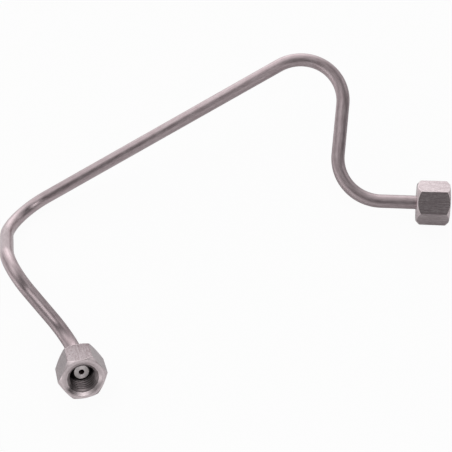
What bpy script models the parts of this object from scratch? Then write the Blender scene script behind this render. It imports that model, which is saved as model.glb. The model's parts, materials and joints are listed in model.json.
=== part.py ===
"""Injector pipe: a bent steel pipe with a cone formed on each end and a union nut behind each cone.

Metres, +Z up. The pipe lies on the floor as it comes to rest, on the left nut, the right nut
and its third bend. Its last run points along +X.
"""

from math import cos, pi, radians, sin, tan

import bmesh
import bpy
from mathutils import Matrix, Vector

# Pipe section
PIPE_DIAMETER = 0.006
BORE_DIAMETER = 0.002

# Straight runs, from the left tip to the right tip
RUN_LEFT_END = 0.0087
RUN_RISER = 0.0145
RUN_KICK = 0.018
RUN_LONG = 0.126
RUN_DROP = 0.0235
RUN_RIGHT_END = 0.0235

# Bends between the runs, in degrees
BEND_RADIUS = 0.020
BEND_LEFT = 73.0
BEND_RISER = 73.0
BEND_KICK = 95.5
BEND_TOP = 124.5
BEND_RIGHT = 92.5

# Turn of the pipe in the bender before each bend after the first, in degrees
TWIST_RISER = 177.0
TWIST_KICK = -82.5
TWIST_TOP = 53.5
TWIST_RIGHT = -178.0

# Cold formed end: a sealing cone, a round land and a shoulder that the nut pulls on
TIP_DIAMETER = 0.0059
TIP_ROUND = 0.0002
CONE_ANGLE = 60.0
LAND_DIAMETER = 0.0093
LAND_LENGTH = 0.0006
SHOULDER_ANGLE = 90.0

# Union nut: a hexagon for a 17 mm spanner with a thread M12 x 1.5
NUT_ACROSS_FLATS = 0.017
NUT_LENGTH = 0.014
NUT_CHAMFER_ANGLE = 45.0
MOUTH_FACE_DIAMETER = 0.0169
BACK_FACE_DIAMETER = 0.0164
THREAD_DIAMETER = 0.012
THREAD_PITCH = 0.0015
THREAD_HEIGHT = 0.5413
COUNTERSINK_DIAMETER = 0.0146
COUNTERSINK_ANGLE = 120.0
TIP_DEPTH = 0.0059
HOLE_CLEARANCE = 0.0003
HOLE_CHAMFER = 0.0004
SEAT_CLEARANCE = 0.0003

# How far each nut is turned about its axis from having a corner on top, in degrees
NUT_LEFT_TURN = 18.0
NUT_RIGHT_TURN = 8.3

# Facets
BEND_STEP = 6.0
PIPE_SIDES = 24
BORE_SIDES = 14
TURNED_SIDES = 48
ROUND_STEPS = 3
CUT_MARGIN = 0.001
WELD = 0.000001

# Roughly which way is down while the pipe still stands as it was bent. settle() finds it exactly.
DOWN_GUESS = Vector((-0.276, 0.807, 0.522))
SETTLE_ROUNDS = 12

PIPE_COLOR = (0.47, 0.42, 0.43, 1.0)
PIPE_ROUGHNESS = 0.38
NUT_COLOR = (0.52, 0.47, 0.48, 1.0)
NUT_ROUGHNESS = 0.3

# Sizes that follow from the ones above
PIPE_RADIUS = PIPE_DIAMETER / 2
TIP_RADIUS = TIP_DIAMETER / 2
LAND_RADIUS = LAND_DIAMETER / 2
CONE_LENGTH = (LAND_RADIUS - TIP_RADIUS) / tan(radians(CONE_ANGLE / 2))
LAND_END = CONE_LENGTH + LAND_LENGTH
SHOULDER_SLOPE = 1 / tan(radians(SHOULDER_ANGLE / 2))
HEX_RADIUS = NUT_ACROSS_FLATS / 2 / cos(pi / 6)
THREAD_CREST_RADIUS = THREAD_DIAMETER / 2 - THREAD_HEIGHT * THREAD_PITCH
HOLE_RADIUS = PIPE_RADIUS + HOLE_CLEARANCE
CHAMFER_SLOPE = tan(radians(NUT_CHAMFER_ANGLE))

BENDS = (
    (RUN_LEFT_END, BEND_LEFT, 0.0),
    (RUN_RISER, BEND_RISER, TWIST_RISER),
    (RUN_KICK, BEND_KICK, TWIST_KICK),
    (RUN_LONG, BEND_TOP, TWIST_TOP),
    (RUN_DROP, BEND_RIGHT, TWIST_RIGHT),
)


def clear_scene():
    for obj in list(bpy.data.objects):
        bpy.data.objects.remove(obj, do_unlink=True)


def new_collection(name):
    collection = bpy.data.collections.new(name)
    bpy.context.scene.collection.children.link(collection)
    return collection


def new_object(name, data, collection):
    obj = bpy.data.objects.new(name, data)
    collection.objects.link(obj)
    return obj


def steel(name, color, roughness):
    material = bpy.data.materials.new(name)
    material.use_nodes = True
    shader = material.node_tree.nodes["Principled BSDF"]
    shader.inputs["Base Color"].default_value = color
    shader.inputs["Metallic"].default_value = 1.0
    shader.inputs["Roughness"].default_value = roughness
    material.diffuse_color = color
    return material


def route(trim):
    """Points of the centreline with the heading at each, both ends shortened by trim.

    The left tip is at the origin and the first run goes up.
    """
    place = Vector((0.0, 0.0, trim))
    heading = Vector((0.0, 0.0, 1.0))
    bend_axis = Vector((1.0, 0.0, 0.0))
    stations = [(place.copy(), heading.copy())]
    done = trim
    for run, angle, twist in BENDS:
        place = place + heading * (run - done)
        done = 0.0
        bend_axis = Matrix.Rotation(radians(twist), 3, heading) @ bend_axis
        centre = place + bend_axis.cross(heading) * BEND_RADIUS
        arm, before = place - centre, heading
        steps = round(angle / BEND_STEP)
        for step in range(steps + 1):
            turn = Matrix.Rotation(radians(angle) * step / steps, 3, bend_axis)
            stations.append((centre + turn @ arm, turn @ before))
        place, heading = stations[-1]
    stations.append((place + heading * (RUN_RIGHT_END - trim), heading))
    return stations


def swept(name, stations, radius, sides, collection):
    """A round bar along the stations, made as a curve and kept as a closed mesh."""
    curve = bpy.data.curves.new(name, "CURVE")
    curve.dimensions = "3D"
    curve.bevel_depth = radius
    curve.bevel_resolution = (sides - 4) // 2
    curve.use_fill_caps = True
    spline = curve.splines.new("POLY")
    spline.points.add(len(stations) - 1)
    for point, (place, _) in zip(spline.points, stations):
        point.co = (*place, 1.0)
    guide = new_object(name + "_guide", curve, collection)
    bpy.context.view_layer.update()
    graph = bpy.context.evaluated_depsgraph_get()
    mesh = bpy.data.meshes.new_from_object(guide.evaluated_get(graph))
    body = bmesh.new()
    body.from_mesh(mesh)
    bmesh.ops.remove_doubles(body, verts=body.verts, dist=WELD)
    bmesh.ops.recalc_face_normals(body, faces=body.faces)
    body.to_mesh(mesh)
    body.free()
    obj = new_object(name, mesh, collection)
    obj.matrix_world = guide.matrix_world
    bpy.data.objects.remove(guide, do_unlink=True)
    return obj


def turned(name, profile, collection):
    """A solid turned about Z from (radius, height) points, given down the outer side."""
    mesh = bpy.data.meshes.new(name)
    edges = [(i, i + 1) for i in range(len(profile) - 1)]
    mesh.from_pydata([(radius, 0.0, height) for radius, height in profile], edges, [])
    obj = new_object(name, mesh, collection)
    screw = obj.modifiers.new("turn", "SCREW")
    screw.axis = "Z"
    screw.steps = TURNED_SIDES
    screw.render_steps = TURNED_SIDES
    screw.use_merge_vertices = True
    screw.merge_threshold = WELD
    return obj


def as_cutter(obj):
    obj.hide_render = True
    obj.display_type = "WIRE"
    return obj


def combine(target, other, operation):
    boolean = target.modifiers.new(other.name, "BOOLEAN")
    boolean.operation = operation
    boolean.solver = "EXACT"
    boolean.object = other


def aim(obj, place, direction, turn):
    """Set the object's origin at a place with its Z along a direction, then turn it about Z."""
    up = -DOWN_GUESS
    y_axis = (up - direction * up.dot(direction)).normalized()
    axes = Matrix((y_axis.cross(direction), y_axis, direction)).transposed()
    rotation = axes @ Matrix.Rotation(radians(turn), 3, "Z")
    obj.matrix_world = Matrix.Translation(place) @ rotation.to_4x4()


def end_profile():
    """A formed end with its tip at height 0, going down to where it is inside the pipe."""
    half = radians(CONE_ANGLE / 2)
    corner = TIP_RADIUS - TIP_ROUND * cos(half)
    points = [(0.0, 0.0)]
    for step in range(ROUND_STEPS + 1):
        angle = (pi / 2 - half) * step / ROUND_STEPS
        points.append((corner + TIP_ROUND * sin(angle), TIP_ROUND * (cos(angle) - 1)))
    inside = PIPE_RADIUS / 2
    low = -LAND_END - (LAND_RADIUS - inside) * SHOULDER_SLOPE
    return points + [
        (LAND_RADIUS, -CONE_LENGTH),
        (LAND_RADIUS, -LAND_END),
        (inside, low),
        (0.0, low),
    ]


def make_pipe(parts, cutters, material):
    """The bent pipe with a formed end at each tip, bored through from tip to tip."""
    inside_land = CONE_LENGTH + LAND_LENGTH / 2
    pipe = swept("fuel_pipe", route(inside_land), PIPE_RADIUS, PIPE_SIDES, parts)
    pipe.data.materials.append(material)
    stations = route(0.0)
    for side, (tip, heading), sign in (
        ("left", stations[0], -1),
        ("right", stations[-1], 1),
    ):
        end = as_cutter(turned("formed_end_" + side, end_profile(), cutters))
        aim(end, tip, heading * sign, 0.0)
        combine(pipe, end, "UNION")
    bore = swept("bore", route(-CUT_MARGIN), BORE_DIAMETER / 2, BORE_SIDES, cutters)
    combine(pipe, as_cutter(bore), "DIFFERENCE")
    return pipe


def nut_outline_profile():
    """The turned outline that chamfers the hexagon. The mouth is at height 0."""
    mouth, back = MOUTH_FACE_DIAMETER / 2, BACK_FACE_DIAMETER / 2
    widest = HEX_RADIUS + CUT_MARGIN
    return [
        (0.0, 0.0),
        (mouth, 0.0),
        (widest, (mouth - widest) * CHAMFER_SLOPE),
        (widest, (widest - back) * CHAMFER_SLOPE - NUT_LENGTH),
        (back, -NUT_LENGTH),
        (0.0, -NUT_LENGTH),
    ]


def nut_bore_profile():
    """Countersink, threaded bore, seat for the pipe's shoulder and hole for the pipe."""
    countersink_slope = 1 / tan(radians(COUNTERSINK_ANGLE / 2))
    wide = COUNTERSINK_DIAMETER / 2
    seat_at_land = TIP_DEPTH + LAND_END + SEAT_CLEARANCE / sin(radians(SHOULDER_ANGLE / 2))
    seat_top = seat_at_land - (THREAD_CREST_RADIUS - LAND_RADIUS) * SHOULDER_SLOPE
    seat_bottom = seat_at_land + (LAND_RADIUS - HOLE_RADIUS) * SHOULDER_SLOPE
    return [
        (0.0, CUT_MARGIN),
        (wide + CUT_MARGIN / countersink_slope, CUT_MARGIN),
        (THREAD_CREST_RADIUS, (THREAD_CREST_RADIUS - wide) * countersink_slope),
        (THREAD_CREST_RADIUS, -seat_top),
        (HOLE_RADIUS, -seat_bottom),
        (HOLE_RADIUS, HOLE_CHAMFER - NUT_LENGTH),
        (HOLE_RADIUS + HOLE_CHAMFER + CUT_MARGIN, -NUT_LENGTH - CUT_MARGIN),
        (0.0, -NUT_LENGTH - CUT_MARGIN),
    ]


def make_nut(side, tip, outward, turn, parts, cutters, material):
    """A union nut on one end of the pipe. Its origin is on its axis, in the plane of its mouth."""
    name = "union_nut_" + side
    mesh = bpy.data.meshes.new(name)
    body = bmesh.new()
    bmesh.ops.create_cone(
        body,
        cap_ends=True,
        segments=6,
        radius1=HEX_RADIUS,
        radius2=HEX_RADIUS,
        depth=NUT_LENGTH + 2 * CUT_MARGIN,
    )
    bmesh.ops.translate(body, verts=body.verts, vec=(0.0, 0.0, -NUT_LENGTH / 2))
    body.to_mesh(mesh)
    body.free()
    mesh.materials.append(material)
    nut = new_object(name, mesh, parts)
    outline = as_cutter(turned(name + "_outline", nut_outline_profile(), cutters))
    bore = as_cutter(turned(name + "_bore", nut_bore_profile(), cutters))
    combine(nut, outline, "INTERSECT")
    combine(nut, bore, "DIFFERENCE")
    for obj in (nut, outline, bore):
        aim(obj, tip + outward * TIP_DEPTH, outward, turn)
    return nut


def surface_points(obj):
    """The vertices of the finished shape, in world space."""
    bpy.context.view_layer.update()
    shape = obj.evaluated_get(bpy.context.evaluated_depsgraph_get())
    points = [shape.matrix_world @ vertex.co for vertex in shape.to_mesh().vertices]
    shape.to_mesh_clear()
    return points


def settle(nut_left, nut_right, pipe, right_axis):
    """The move that lays the pipe on its three lowest points, centred on the origin."""
    clouds = [surface_points(obj) for obj in (nut_left, nut_right, pipe)]
    down = DOWN_GUESS.normalized()
    for _ in range(SETTLE_ROUNDS):
        left, right, middle = [max(points, key=down.dot) for points in clouds]
        floor = (right - left).cross(middle - left).normalized()
        down = floor if floor.dot(down) > 0 else -floor
    up = -down
    ahead = (right_axis - up * up.dot(right_axis)).normalized()
    turn = Matrix((ahead, up.cross(ahead), up))
    laid = [turn @ point for points in clouds for point in points]
    low = [min(point[axis] for point in laid) for axis in range(3)]
    high = [max(point[axis] for point in laid) for axis in range(3)]
    foot = Vector(((low[0] + high[0]) / 2, (low[1] + high[1]) / 2, low[2]))
    return Matrix.Translation(-foot) @ turn.to_4x4()


def main():
    clear_scene()
    parts = new_collection("injector_pipe")
    cutters = new_collection("cutters")
    pipe_steel = steel("pipe_steel", PIPE_COLOR, PIPE_ROUGHNESS)
    nut_steel = steel("nut_steel", NUT_COLOR, NUT_ROUGHNESS)

    pipe = make_pipe(parts, cutters, pipe_steel)
    (left_tip, first), (right_tip, last) = route(0.0)[0], route(0.0)[-1]
    nut_left = make_nut("left", left_tip, -first, NUT_LEFT_TURN, parts, cutters, nut_steel)
    nut_right = make_nut("right", right_tip, last, NUT_RIGHT_TURN, parts, cutters, nut_steel)

    move = settle(nut_left, nut_right, pipe, last)
    for obj in (*parts.objects, *cutters.objects):
        obj.matrix_world = move @ obj.matrix_world


main()
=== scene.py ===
from json import dumps
from math import cos, log, pi, radians, sin, tan

import bmesh
import bpy
import numpy as np
from mathutils import Matrix, Vector
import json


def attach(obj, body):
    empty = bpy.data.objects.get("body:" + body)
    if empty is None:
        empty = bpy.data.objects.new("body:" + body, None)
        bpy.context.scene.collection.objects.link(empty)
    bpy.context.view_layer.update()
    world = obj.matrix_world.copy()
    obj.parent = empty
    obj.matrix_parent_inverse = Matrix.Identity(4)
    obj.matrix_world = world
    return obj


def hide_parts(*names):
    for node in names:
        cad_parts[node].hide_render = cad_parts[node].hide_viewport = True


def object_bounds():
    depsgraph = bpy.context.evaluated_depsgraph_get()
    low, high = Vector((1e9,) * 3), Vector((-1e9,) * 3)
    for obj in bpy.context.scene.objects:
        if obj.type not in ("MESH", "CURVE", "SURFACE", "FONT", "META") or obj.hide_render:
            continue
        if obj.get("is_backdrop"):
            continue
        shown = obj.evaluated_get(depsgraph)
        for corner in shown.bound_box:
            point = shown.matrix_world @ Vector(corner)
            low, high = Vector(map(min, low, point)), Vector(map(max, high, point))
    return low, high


# The looks of an injector pipe with its two union nuts: bare steel in a white studio

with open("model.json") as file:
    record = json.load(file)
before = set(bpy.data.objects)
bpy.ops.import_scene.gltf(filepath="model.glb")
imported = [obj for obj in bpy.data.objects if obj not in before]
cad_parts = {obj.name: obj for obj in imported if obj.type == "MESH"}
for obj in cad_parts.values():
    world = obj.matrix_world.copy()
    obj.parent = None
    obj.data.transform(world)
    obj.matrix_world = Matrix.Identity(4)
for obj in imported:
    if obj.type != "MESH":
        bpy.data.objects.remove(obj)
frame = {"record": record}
cad_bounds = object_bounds()
JOINTS = {joint["name"]: joint for joint in frame["record"]["behaviour"]["joints"]}

# Sizes of the pipe, in metres and degrees, as in the solids. A row of its bending table is the straight
# run before a bend, the bend's angle and the turn of the pipe in the bender before it
PIPE_RADIUS = 0.003
BORE_RADIUS = 0.001
BEND_RADIUS = 0.020
BENDS = (
    (0.0087, 73.0, 0.0),
    (0.0145, 73.0, 177.0),
    (0.0180, 95.5, -82.5),
    (0.1260, 124.5, 53.5),
    (0.0235, 92.5, -178.0),
)
LAST_RUN = 0.0235
BORE_EDGE = 0.0001
TIP_RADIUS = 0.00295
LAND_RADIUS = 0.00465
LAND_LENGTH = 0.0006
CONE_SLOPE = tan(radians(30.0))
BEHIND_SHOULDER = 0.0006

# How deep a tip lies behind its nut's mouth
TIP_DEPTH = 0.0059

# Sizes of the union nut. A height is from its mouth, outward, so most of them are below zero
FLAT_DISTANCE = 0.0085
NUT_LENGTH = 0.014
MOUTH_FACE_RADIUS = 0.00845
BACK_FACE_RADIUS = 0.0082
COUNTERSINK_RADIUS = 0.0073
COUNTERSINK_SLOPE = tan(radians(60.0))
THREAD_CREST = 0.005188
THREAD_ROOT = 0.0060
THREAD_PITCH = 0.0015
THREAD_START = -0.0004
THREAD_END = -0.0091
THREAD_FADE = 0.0009
DEEP_BORE_START = -0.0092
SEAT_APEX_DEPTH = 0.014518
HOLE_RADIUS = 0.0033
HOLE_CHAMFER = 0.0004
CORNER_ROUND = 0.00028

# How far a corner of each nut is turned from the side that faces the top of the photograph, and that
# side in the bending table's axes
NUT_TURNS = {"left": 18.0, "right": 8.3}
TOP_SIDE = Vector((0.276, -0.807, -0.522))

# How far the edges are rounded: from the pipe's mouth to its shoulder, and from a nut's mouth round its
# outside and through its hole to the deep bore
PIPE_ROUNDS = (0.00001, 0.0002, 0.00012, 0.00012, 0.0008)
NUT_ROUNDS = (0.00015, 0.00012, 0.00012, 0.0002, 0.0001, 0.0001, 0.0001, 0.0001)

# How far the fine lines on the steel spread a reflection across them, of 1
LINE_SPREAD = 0.7

# Fineness of the meshes: counts, steps in degrees and metres, and the angle from which an edge is sharp
PIPE_SIDES = 64
BEND_STEP = 1.5
RUN_STEP = 0.004
LEAST_STEP = 0.0005
FLAT_COLUMNS = 14
THREAD_ROWS = 16
SHARP_ANGLE = 35.0
SAME_PLACE = 1e-8

# A rounded edge: the steps of its arc, how far its supporting points stand off, the most that it takes
# of the shorter line beside it, and how many points it has
ARC_STEPS = 4
SUPPORT = 0.00006
MOST_OF_LINE = 0.4
PER_EDGE = ARC_STEPS + 3

# The photograph's camera: its place, its view down and round from +Y, its roll, lens and sensor
CAMERA_PLACE = (0.05594, -0.19804, 0.29783)
CAMERA_DOWN = 54.183
CAMERA_ROUND = -14.678
CAMERA_ROLL = -8.100
LENS = 63.717
SENSOR_WIDTH = 36.0

# The studio's soft lights, as the camera stands: toward its right, up and back, then half their
# width in degrees and how bright they are
PANELS = (
    ((-0.16, 0.95, -0.27), 30.0, 2.2),
    ((0.76, 0.60, 0.24), 16.0, 0.9),
    ((-0.70, -0.67, -0.23), 36.0, 3.1),
    ((-0.42, 0.62, 0.66), 20.0, 1.3),
    ((0.36, 0.0, 0.93), 13.0, 2.3),
    ((0.32, -0.73, 0.60), 12.0, 0.9),
)

# How much plain white there is in what the camera and the metal see of the room, and in what the
# camera sees of the floor
ROOM_WHITE = (1.0, 0.03)
FLOOR_TO_CAMERA = 0.95
PLAIN_WHITE = (1.0, 1.0, 1.0, 1.0)

# The metal finds the floor white toward its far left side only, a painted reflection: the white there goes
# from the first of these shares to the second between two distances from the middle toward that side
FLOOR_IN_METAL = (0.0, 1.0)
LIT_SIDE = (-0.7071, 0.7071, 0.0)
LIT_REACH = (0.015, 0.11)


class Route:
    """The pipe's centreline: a place, a heading and a side vector at any length from the left tip."""

    def __init__(self):
        self.legs = []
        place = Vector((0.0, 0.0, 0.0))
        heading = Vector((0.0, 0.0, 1.0))
        side = Vector((1.0, 0.0, 0.0))
        bend_axis = side.copy()
        done = 0.0
        for run, angle, twist in BENDS:
            self.legs.append((done, run, place, heading, side, None, 0.0))
            place = place + heading * run
            done += run
            bend_axis = Matrix.Rotation(radians(twist), 3, heading) @ bend_axis
            length = radians(angle) * BEND_RADIUS
            self.legs.append((done, length, place, heading, side, bend_axis, angle))
            done += length
            centre = place + bend_axis.cross(heading) * BEND_RADIUS
            turn = Matrix.Rotation(radians(angle), 3, bend_axis)
            place, heading, side = centre + turn @ (place - centre), turn @ heading, turn @ side
        self.legs.append((done, LAST_RUN, place, heading, side, None, 0.0))
        self.length = done + LAST_RUN

    def at(self, s):
        """The place, heading and side vector at the length s."""
        start, _, place, heading, side, bend_axis, _ = [leg for leg in self.legs if leg[0] <= s + 1e-12][-1]
        if bend_axis is None:
            return place + heading * (s - start), heading, side
        centre = place + bend_axis.cross(heading) * BEND_RADIUS
        turn = Matrix.Rotation((s - start) / BEND_RADIUS, 3, bend_axis)
        return centre + turn @ (place - centre), turn @ heading, turn @ side

    def marks(self):
        """Lengths at which the pipe gets a ring of vertices, between its formed ends."""
        found = []
        for start, length, _, _, _, bend_axis, angle in self.legs:
            steps = round(angle / BEND_STEP) if bend_axis else max(1, round(length / RUN_STEP))
            found += [start + length * step / steps for step in range(steps)]
        return found


def rounded(corners, radii):
    """Lines of (x, y) corners with each inner corner made round, between two supporting points.

    corners is (lines, k, 2). The result is (lines, more, 2), the same number for every line.
    """
    out = [corners[:, :1]]
    for k in range(1, corners.shape[1] - 1):
        before = corners[:, k] - corners[:, k - 1]
        after = corners[:, k + 1] - corners[:, k]
        long_before = np.linalg.norm(before, axis=1, keepdims=True)
        long_after = np.linalg.norm(after, axis=1, keepdims=True)
        before, after = before / long_before, after / long_after
        turn = np.arccos(np.clip((before * after).sum(1, keepdims=True), -1.0, 1.0))
        most = MOST_OF_LINE * np.minimum(long_before, long_after)
        reach = np.minimum(radii[k - 1] * np.tan(turn / 2), most)
        first, last = corners[:, k] - before * reach, corners[:, k] + after * reach
        support = np.minimum(SUPPORT, most / 2)
        out.append((first - before * support)[:, None])
        for step in range(ARC_STEPS + 1):
            t = step / ARC_STEPS
            point = first * (1 - t) ** 2 + corners[:, k] * 2 * t * (1 - t) + last * t * t
            out.append(point[:, None])
        out.append((last + after * support)[:, None])
    out.append(corners[:, -1:])
    return np.concatenate(out, axis=1)


def mesh_object(name, points, faces, fields, materials, slots):
    """A smooth mesh with sharp edges kept.

    fields are vectors on its vertices for its materials, and slots says which material a face has.
    """
    mesh = bpy.data.meshes.new(name)
    mesh.from_pydata(points, [], faces)
    for material in materials:
        mesh.materials.append(material)
    mesh.polygons.foreach_set("material_index", slots)
    for key, vectors in fields.items():
        field = mesh.attributes.new(key, "FLOAT_VECTOR", "POINT")
        field.data.foreach_set("vector", np.asarray(vectors, dtype=np.float32).ravel())
    body = bmesh.new()
    body.from_mesh(mesh)
    bmesh.ops.remove_doubles(body, verts=body.verts, dist=SAME_PLACE)
    bmesh.ops.dissolve_degenerate(body, edges=body.edges, dist=SAME_PLACE)
    bmesh.ops.recalc_face_normals(body, faces=body.faces)
    body.to_mesh(mesh)
    body.free()
    mesh.shade_smooth()
    mesh.set_sharp_from_angle(angle=radians(SHARP_ANGLE))
    obj = bpy.data.objects.new(name, mesh)
    bpy.context.scene.collection.objects.link(obj)
    return obj


def table_to_world():
    """The move from the bending table's axes to the frame, from the two nuts' joints."""
    left, right = JOINTS["left_nut_spin"], JOINTS["right_nut_spin"]
    tip, heading, _ = ROUTE.at(ROUTE.length)

    def axes(first, toward):
        second = (toward - first * toward.dot(first)).normalized()
        return Matrix((first, second, first.cross(second))).transposed()

    left_place = Vector(left["pos_m"])
    here = axes(Vector((0, 0, 1)), tip + heading * TIP_DEPTH + Vector((0, 0, TIP_DEPTH)))
    there = axes(-Vector(left["axis"]).normalized(), Vector(right["pos_m"]) - left_place)
    turn = there @ here.transposed()
    return Matrix.Translation(left_place - turn @ Vector((0, 0, -TIP_DEPTH))) @ turn.to_4x4()


def node(tree, kind, values=None, **settings):
    """A new node with its settings. values has a constant or another node's output for its inputs."""
    made = tree.nodes.new(kind)
    for key, value in settings.items():
        setattr(made, key, value)
    for key, value in (values or {}).items():
        if isinstance(value, bpy.types.NodeSocket):
            tree.links.new(value, made.inputs[key])
        else:
            made.inputs[key].default_value = value
    return made


def grain(tree, attribute, stretch, scale, detail=3.0, roughness=0.55):
    """Noise over a stretched copy of a mesh's own coordinates, 0 to 1."""
    place = node(tree, "ShaderNodeAttribute", attribute_name=attribute)
    long = node(tree, "ShaderNodeVectorMath", {0: place.outputs["Vector"], 1: stretch}, operation="MULTIPLY")
    values = {"Vector": long.outputs[0], "Scale": scale, "Detail": detail, "Roughness": roughness}
    return node(tree, "ShaderNodeTexNoise", values).outputs["Fac"]


def rings(tree, attribute, scale):
    """Noise over the distance from the axis and the height along it, as a lathe leaves it."""
    place = node(tree, "ShaderNodeAttribute", attribute_name=attribute)
    parts = node(tree, "ShaderNodeSeparateXYZ", {0: place.outputs["Vector"]})
    flat = node(tree, "ShaderNodeCombineXYZ", {0: parts.outputs[0], 1: parts.outputs[1]})
    radius = node(tree, "ShaderNodeVectorMath", {0: flat.outputs[0]}, operation="LENGTH")
    round_place = node(tree, "ShaderNodeCombineXYZ", {0: radius.outputs["Value"], 1: parts.outputs[2]})
    values = {"Vector": round_place.outputs[0], "Scale": scale, "Detail": 2.0}
    return node(tree, "ShaderNodeTexNoise", values).outputs["Fac"]


def ranged(tree, value, low, high, from_low=0.3, from_high=0.7):
    """A value mapped to low and high from the range that most noise lies in."""
    values = {"Value": value, 1: from_low, 2: from_high, 3: low, 4: high}
    return node(tree, "ShaderNodeMapRange", values).outputs[0]


def blend_values(tree, first, second, share):
    """Two values mixed, with this share of the second."""
    values = {0: share, 2: first, 3: second}
    return node(tree, "ShaderNodeMix", values, data_type="FLOAT").outputs[0]


def steel(name, dark, light, shade, roughness, height, depth, lines):
    """Bare steel. shade, roughness and height are functions that build a value in the tree.

    lines names the field that its fine lines follow. They spread a reflection across them.
    """
    material = bpy.data.materials.new(name)
    material.use_nodes = True
    tree = material.node_tree
    shader = tree.nodes["Principled BSDF"]
    shader.inputs["Metallic"].default_value = 1.0
    values = {0: shade(tree), 6: (*dark, 1.0), 7: (*light, 1.0)}
    color = node(tree, "ShaderNodeMix", values, data_type="RGBA")
    tree.links.new(color.outputs[2], shader.inputs["Base Color"])
    tree.links.new(roughness(tree), shader.inputs["Roughness"])
    bump = node(tree, "ShaderNodeBump", {"Height": height(tree), "Distance": depth, "Strength": 1.0})
    tree.links.new(bump.outputs[0], shader.inputs["Normal"])
    along = node(tree, "ShaderNodeAttribute", attribute_name=lines)
    settings = {"vector_type": "VECTOR", "convert_from": "OBJECT", "convert_to": "WORLD"}
    turned = node(tree, "ShaderNodeVectorTransform", {0: along.outputs["Vector"]}, **settings)
    surface = node(tree, "ShaderNodeNewGeometry")
    values = {0: turned.outputs[0], 1: surface.outputs["Normal"]}
    across = node(tree, "ShaderNodeVectorMath", values, operation="CROSS_PRODUCT")
    shader.inputs["Anisotropic"].default_value = LINE_SPREAD
    tree.links.new(across.outputs[0], shader.inputs["Tangent"])
    return material


def pipe_material():
    """Cold drawn tube: fine lines along the pipe, with a light mottle from plating."""

    def lines(tree):
        return grain(tree, "straight", (0.03, 1.0, 1.0), 2600.0)

    def mottle(tree):
        return grain(tree, "straight", (0.35, 1.0, 1.0), 700.0, 4.0, 0.6)

    def shade(tree):
        both = blend_values(tree, lines(tree), mottle(tree), 0.6)
        return ranged(tree, both, 0.0, 1.0)

    def rough(tree):
        return ranged(tree, mottle(tree), 0.28, 0.36)

    dark, light = (0.35, 0.276, 0.29), (0.57, 0.487, 0.503)
    return steel("drawn_steel", dark, light, shade, rough, lines, 0.000005, "lines")


def end_material(name, dark, light):
    """Steel of the formed ends, duller than the tube, with faint rings."""

    def fine(tree):
        return grain(tree, "straight", (1.0, 0.1, 0.1), 5000.0)

    def shade(tree):
        return ranged(tree, grain(tree, "straight", (1.0, 1.0, 1.0), 1500.0), 0.0, 1.0)

    def rough(tree):
        return ranged(tree, fine(tree), 0.45, 0.55)

    return steel(name, dark, light, shade, rough, fine, 0.000003, "lines")


def flat_material():
    """Hexagon bar as drawn: lines along the nut's axis with faint marks across them."""

    def lines(tree):
        return grain(tree, "local", (1.0, 1.0, 0.05), 2400.0)

    def across(tree):
        return grain(tree, "local", (0.06, 0.06, 1.0), 1500.0)

    def shade(tree):
        speck = grain(tree, "local", (1.0, 1.0, 0.35), 1800.0, 4.0, 0.65)
        both = blend_values(tree, lines(tree), speck, 0.6)
        return ranged(tree, both, 0.0, 1.0, 0.38, 0.62)

    def rough(tree):
        return ranged(tree, across(tree), 0.17, 0.25)

    def height(tree):
        return blend_values(tree, lines(tree), across(tree), 0.12)

    dark, light = (0.39, 0.322, 0.335), (0.61, 0.539, 0.554)
    return steel("nut_flats_steel", dark, light, shade, rough, height, 0.000010, "axis")


def turned_material():
    """Turned faces: fine rings about the nut's axis."""

    def fine(tree):
        return rings(tree, "local", 9000.0)

    def shade(tree):
        speck = grain(tree, "local", (1.0, 1.0, 1.0), 1200.0, 3.0, 0.6)
        both = blend_values(tree, fine(tree), speck, 0.5)
        return ranged(tree, both, 0.0, 1.0)

    def rough(tree):
        return ranged(tree, rings(tree, "local", 2500.0), 0.26, 0.36)

    dark, light = (0.65, 0.555, 0.57), (0.84, 0.744, 0.76)
    return steel("nut_turned_steel", dark, light, shade, rough, fine, 0.000003, "around")


def shaded_thread_material():
    """Cut threads and the deep bore behind them, in dark steel as painted shade inside the nut."""

    def fine(tree):
        return rings(tree, "local", 6000.0)

    def shade(tree):
        return ranged(tree, fine(tree), 0.0, 1.0)

    def rough(tree):
        return ranged(tree, rings(tree, "local", 2500.0), 0.28, 0.36)

    dark, light = (0.16, 0.133, 0.138), (0.34, 0.296, 0.302)
    return steel("thread_steel_painted_shade", dark, light, shade, rough, fine, 0.000003, "around")


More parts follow.
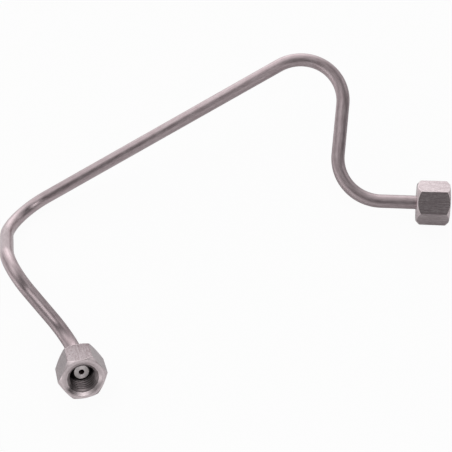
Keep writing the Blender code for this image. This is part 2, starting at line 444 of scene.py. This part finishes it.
def make_pipe(materials):
    """The tube and its formed ends as one skin, outside and inside, from the bending table."""
    cone_length = (LAND_RADIUS - TIP_RADIUS) / CONE_SLOPE
    land_end = cone_length + LAND_LENGTH
    shoulder_end = land_end + LAND_RADIUS - PIPE_RADIUS
    corners = np.array([[
        (0.0, BORE_RADIUS + BORE_EDGE),
        (0.0, BORE_RADIUS + 2 * BORE_EDGE),
        (0.0, TIP_RADIUS),
        (cone_length, LAND_RADIUS),
        (land_end, LAND_RADIUS),
        (shoulder_end, PIPE_RADIUS),
        (shoulder_end + BEHIND_SHOULDER, PIPE_RADIUS),
    ]])
    mouth = [(1.5 * BORE_EDGE, BORE_RADIUS), (0.8 * BORE_EDGE, BORE_RADIUS + 0.3 * BORE_EDGE)]
    end = mouth + [tuple(point) for point in rounded(corners, PIPE_ROUNDS)[0]]

    # The tip's cut face goes halfway round its outer edge, and the pressed steel from there to the tube
    # The cut face's near white is painted light, and the pressed steel's near black is painted shade
    face_rows = range(len(mouth), len(mouth) + 1 + 3 * PER_EDGE // 2)
    cone_rows = range(face_rows.stop, len(end) - 1)

    length = ROUTE.length
    clear = end[-1][0] + LEAST_STEP
    middle = [s for s in ROUTE.marks() if clear < s < length - clear]
    outer = end + [(s, PIPE_RADIUS) for s in middle] + [(length - s, r) for s, r in reversed(end)]
    inner = [(s, BORE_RADIUS) for s in reversed(middle[::3])]

    points, straight, lines = [], [], []
    for s, radius in outer + inner:
        place, heading, side = ROUTE.at(s)
        place, heading, side = TO_WORLD @ place, TURN @ heading, TURN @ side
        other = heading.cross(side)
        formed = min(s, length - s) < shoulder_end
        for k in range(PIPE_SIDES):
            angle = 2 * pi * k / PIPE_SIDES
            across = side * cos(angle) + other * sin(angle)
            points.append(place + across * radius)
            straight.append((s, radius * cos(angle), radius * sin(angle)))
            lines.append(heading.cross(across) if formed else heading)
    rows = len(outer) + len(inner)
    faces, slots = [], []
    for row in range(rows):
        here, there = row * PIPE_SIDES, (row + 1) % rows * PIPE_SIDES
        from_end = min(row, len(outer) - 2 - row)
        slot = 1 if from_end in face_rows else 2 if from_end in cone_rows else 0
        slots += [slot] * PIPE_SIDES
        for k in range(PIPE_SIDES):
            beside = (k + 1) % PIPE_SIDES
            faces.append((here + k, here + beside, there + beside, there + k))
    fields = {"straight": straight, "lines": lines}
    return mesh_object("drawn_pipe", points, faces, fields, materials, slots)


def nut_angles():
    """Angles of the columns round a nut: close at each rounded corner, even across each flat."""
    centre = (FLAT_DISTANCE - CORNER_ROUND) / cos(pi / 6)
    edge = np.arctan2(CORNER_ROUND / 2, centre + CORNER_ROUND * cos(pi / 6))
    support = edge + SUPPORT / FLAT_DISTANCE
    near = [0.0, edge / 3, edge * 2 / 3, edge, support]
    across = np.linspace(support, pi / 3 - support, FLAT_COLUMNS)[1:-1]
    sector = near + list(across) + [pi / 3 - a for a in reversed(near[1:])]
    return np.array([pi / 2 + k * pi / 3 + a for k in range(6) for a in sector]), edge


def hexagon_radius(angles, edge):
    """The radius of the hexagon at these angles, with its six corners rounded."""
    centre = (FLAT_DISTANCE - CORNER_ROUND) / cos(pi / 6)
    off = np.abs((angles - pi / 2 + pi / 6) % (pi / 3) - pi / 6)
    flat = FLAT_DISTANCE / np.cos(pi / 6 - off)
    arc = centre * np.cos(off) + np.sqrt(np.maximum(CORNER_ROUND**2 - (centre * np.sin(off)) ** 2, 0.0))
    return np.where(off <= edge, arc, flat)


def thread_block(angles):
    """Radius and height of the thread's rows, following the helix, from its end to the countersink.

    A pitch has THREAD_ROWS rows, so crests, roots and flanks meet on rows.
    """
    row_step = THREAD_PITCH / THREAD_ROWS
    root_half = THREAD_PITCH / 16
    first = int(THREAD_END / row_step) - THREAD_ROWS - 2
    rows = np.arange(first, int(THREAD_START / row_step) + 2)
    climb = (angles - angles[0])[:, None] / (2 * pi) * THREAD_PITCH
    height = np.clip(climb + rows[None, :] * row_step, THREAD_END, THREAD_START)
    off = np.abs((height - climb + THREAD_PITCH / 2) % THREAD_PITCH - THREAD_PITCH / 2)
    groove = THREAD_ROOT - (off - root_half) / tan(radians(30.0))
    groove = np.clip(groove, THREAD_CREST, THREAD_ROOT)
    depth = np.clip((height - THREAD_END) / THREAD_FADE, 0.0, 1.0)
    radius = THREAD_CREST + (groove - THREAD_CREST) * depth
    return np.maximum(radius, COUNTERSINK_RADIUS + height * COUNTERSINK_SLOPE), height


def nut_profile(angles, edge):
    """Radius and height of a nut's rows in each column, and how many come before and in the thread."""
    hexagon = hexagon_radius(angles, edge)
    fixed = np.ones_like(hexagon)

    def ring(radius, height):
        return np.stack([radius * fixed, height * fixed], 1)

    corners = [
        ring(COUNTERSINK_RADIUS, 0.0),
        ring(MOUTH_FACE_RADIUS, 0.0),
        ring(hexagon, MOUTH_FACE_RADIUS - hexagon),
        ring(hexagon, hexagon - BACK_FACE_RADIUS - NUT_LENGTH),
        ring(BACK_FACE_RADIUS, -NUT_LENGTH),
        ring(HOLE_RADIUS + HOLE_CHAMFER, -NUT_LENGTH),
        ring(HOLE_RADIUS, HOLE_CHAMFER - NUT_LENGTH),
        ring(HOLE_RADIUS, HOLE_RADIUS - SEAT_APEX_DEPTH),
        ring(THREAD_CREST, THREAD_CREST - SEAT_APEX_DEPTH),
        ring(THREAD_CREST, DEEP_BORE_START),
    ]
    outside = rounded(np.stack(corners, 1), NUT_ROUNDS)
    thread = np.stack(thread_block(angles), 2)
    lip = 0.0001
    last = ring(COUNTERSINK_RADIUS - lip, -lip / COUNTERSINK_SLOPE)[:, None]
    return np.concatenate([outside, thread, last], axis=1), outside.shape[1], thread.shape[1]


def make_nut(side, place, axis, materials):
    """A union nut with rounded edges and a cut thread, in the place and turn of its solid."""
    angles, edge = nut_angles()
    profile, before, threaded = nut_profile(angles, edge)
    columns, size = profile.shape[:2]

    # The one row of faces that is the six flats, and the row from which the bore starts, at its seat
    flat_row = 2 * PER_EDGE
    bored_row = 1 + 6 * PER_EDGE

    x = profile[..., 0] * np.cos(angles)[:, None]
    y = profile[..., 0] * np.sin(angles)[:, None]
    local = np.stack([x, y, profile[..., 1]], 2).reshape(-1, 3)

    def met(row):
        """The row of the first column that a row of the last one meets: the helix has moved on."""
        if before <= row < before + threaded:
            return min(row + THREAD_ROWS, before + threaded - 1)
        return row

    faces, slots = [], []
    for c in range(columns):
        here, there = c * size, (c + 1) % columns * size
        is_last = c == columns - 1
        for row in range(size):
            after = (row + 1) % size
            beside, beyond = (met(row), met(after)) if is_last else (row, after)
            faces.append((here + row, here + after, there + beyond, there + beside))
            # Threads and the deep bore take the dark steel that paints the shade inside the nut
            cut = row >= bored_row and profile[c, row, 0] < THREAD_ROOT + SUPPORT
            slots.append(0 if row == flat_row else 2 if cut else 1)
    to_world = aim(place, axis, NUT_TURNS[side])
    points = [to_world @ Vector(p) for p in local]
    around = [axis.cross(point - place).normalized() for point in points]
    fields = {"local": local, "axis": [axis] * len(points), "around": around}
    return mesh_object("nut_" + side, points, faces, fields, materials, slots)


def aim(place, direction, turn):
    """The nut's axes in the frame: Z out of its mouth, turned from having a corner on its top side."""
    up = TURN @ TOP_SIDE
    y_axis = (up - direction * up.dot(direction)).normalized()
    axes = Matrix((y_axis.cross(direction), y_axis, direction)).transposed()
    return Matrix.Translation(place) @ (axes @ Matrix.Rotation(radians(turn), 3, "Z")).to_4x4()


def camera_axes():
    """The camera's right, up and back in the frame, as the columns of a turn."""
    down, around = radians(CAMERA_DOWN), radians(CAMERA_ROUND)
    ahead = Vector((sin(around) * cos(down), cos(around) * cos(down), -sin(down)))
    right = ahead.cross(Vector((0, 0, 1))).normalized()
    level = Matrix((right, right.cross(ahead), -ahead)).transposed()
    return level @ Matrix.Rotation(radians(CAMERA_ROLL), 3, "Z")


def make_camera():
    data = bpy.data.cameras.new("camera")
    data.lens = LENS
    data.sensor_width = SENSOR_WIDTH
    data.clip_start = 0.01
    data.clip_end = 50.0
    camera = bpy.data.objects.new("camera", data)
    camera.matrix_world = Matrix.Translation(CAMERA_PLACE) @ camera_axes().to_4x4()
    bpy.context.scene.collection.objects.link(camera)
    bpy.context.scene.camera = camera


def own_white(tree, to_camera, in_metal):
    """The share of plain white that a ray sees: one from the camera, or one sent on by metal or glass."""
    path = node(tree, "ShaderNodeLightPath")
    values = {0: path.outputs["Is Glossy Ray"], 1: path.outputs["Is Transmission Ray"]}
    sent_on = node(tree, "ShaderNodeMath", values, operation="MAXIMUM").outputs[0]
    reflected = node(tree, "ShaderNodeMath", {0: sent_on, 1: in_metal}, operation="MULTIPLY").outputs[0]
    values = {0: path.outputs["Is Camera Ray"], 1: to_camera}
    direct = node(tree, "ShaderNodeMath", values, operation="MULTIPLY").outputs[0]
    return node(tree, "ShaderNodeMath", {0: direct, 1: reflected}, operation="MAXIMUM").outputs[0]


def make_floor():
    """A white floor. What the camera sees of it is partly its own white, so the shadow is faint."""
    mesh = bpy.data.meshes.new("floor")
    half = 6.0
    corners = [(-half, -half, 0), (half, -half, 0), (half, half, 0), (-half, half, 0)]
    mesh.from_pydata(corners, [], [(0, 1, 2, 3)])
    floor = bpy.data.objects.new("floor", mesh)
    bpy.context.scene.collection.objects.link(floor)
    material = bpy.data.materials.new("floor_white")
    material.use_nodes = True
    tree = material.node_tree
    tree.nodes.clear()
    paper_white = (0.8, 0.8, 0.8, 1.0)
    paper = node(tree, "ShaderNodeBsdfDiffuse", {"Color": paper_white})
    white = node(tree, "ShaderNodeEmission", {"Color": PLAIN_WHITE, "Strength": 1.0})
    # Painted reflection: to the metal the floor glows white only toward LIT_SIDE
    place = node(tree, "ShaderNodeNewGeometry").outputs["Position"]
    off = node(tree, "ShaderNodeVectorMath", {0: place, 1: LIT_SIDE}, operation="DOT_PRODUCT")
    values = {"Value": off.outputs["Value"], 1: LIT_REACH[0], 2: LIT_REACH[1]}
    values |= {3: FLOOR_IN_METAL[0], 4: FLOOR_IN_METAL[1]}
    in_metal = node(tree, "ShaderNodeMapRange", values, interpolation_type="SMOOTHSTEP").outputs[0]
    share = own_white(tree, FLOOR_TO_CAMERA, in_metal)
    both = node(tree, "ShaderNodeMixShader", {0: share, 1: paper.outputs[0], 2: white.outputs[0]})
    node(tree, "ShaderNodeOutputMaterial", {"Surface": both.outputs[0]})
    mesh.materials.append(material)
    floor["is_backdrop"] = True


def make_world():
    """Soft lights in a dark room that the camera sees as white. Each is half as bright at its edge."""
    world = bpy.data.worlds.new("studio")
    bpy.context.scene.world = world
    world.use_nodes = True
    tree = world.node_tree
    tree.nodes.clear()
    place = node(tree, "ShaderNodeTexCoord").outputs["Generated"]
    light = 0.0
    for panel, half_width, strength in PANELS:
        direction = (camera_axes() @ Vector(panel)).normalized()
        narrow = log(2.0) / (1.0 - cos(radians(half_width)))
        toward = node(tree, "ShaderNodeVectorMath", {0: place, 1: direction}, operation="DOT_PRODUCT")
        values = {0: toward.outputs["Value"], 1: narrow, 2: -narrow}
        fall = node(tree, "ShaderNodeMath", values, operation="MULTIPLY_ADD")
        soft = node(tree, "ShaderNodeMath", {0: fall.outputs[0]}, operation="EXPONENT")
        values = {0: soft.outputs[0], 1: strength, 2: light}
        light = node(tree, "ShaderNodeMath", values, operation="MULTIPLY_ADD").outputs[0]
    lamps = node(tree, "ShaderNodeBackground", {"Color": PLAIN_WHITE, "Strength": light})
    room = node(tree, "ShaderNodeBackground", {"Color": PLAIN_WHITE, "Strength": 1.0})
    share = own_white(tree, *ROOM_WHITE)
    both = node(tree, "ShaderNodeMixShader", {0: share, 1: lamps.outputs[0], 2: room.outputs[0]})
    node(tree, "ShaderNodeOutputWorld", {"Surface": both.outputs[0]})


ROUTE = Route()
TO_WORLD = table_to_world()
TURN = TO_WORLD.to_3x3()

# Near-white steel paints light on the tip faces, and near-black steel paints shade on their cones
painted_end_materials = [
    end_material("cut_steel_painted_light", (0.86, 0.79, 0.79), (0.95, 0.89, 0.89)),
    end_material("pressed_steel_painted_shade", (0.04, 0.032, 0.033), (0.07, 0.058, 0.06)),
]
pipe = make_pipe([pipe_material(), *painted_end_materials])
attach(pipe, "pipe")
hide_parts("fuel_pipe")

nut_materials = [flat_material(), turned_material(), shaded_thread_material()]
for name, joint in JOINTS.items():
    side = name.split("_")[0]
    nut = make_nut(side, Vector(joint["pos_m"]), Vector(joint["axis"]).normalized(), nut_materials)
    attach(nut, side + "_nut")
    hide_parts("union_nut_" + side)

make_camera()
make_floor()
make_world()

bpy.context.scene.view_settings.view_transform = "Standard"

dumps([[list(map(float, c)) for c in box] for box in (cad_bounds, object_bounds())])
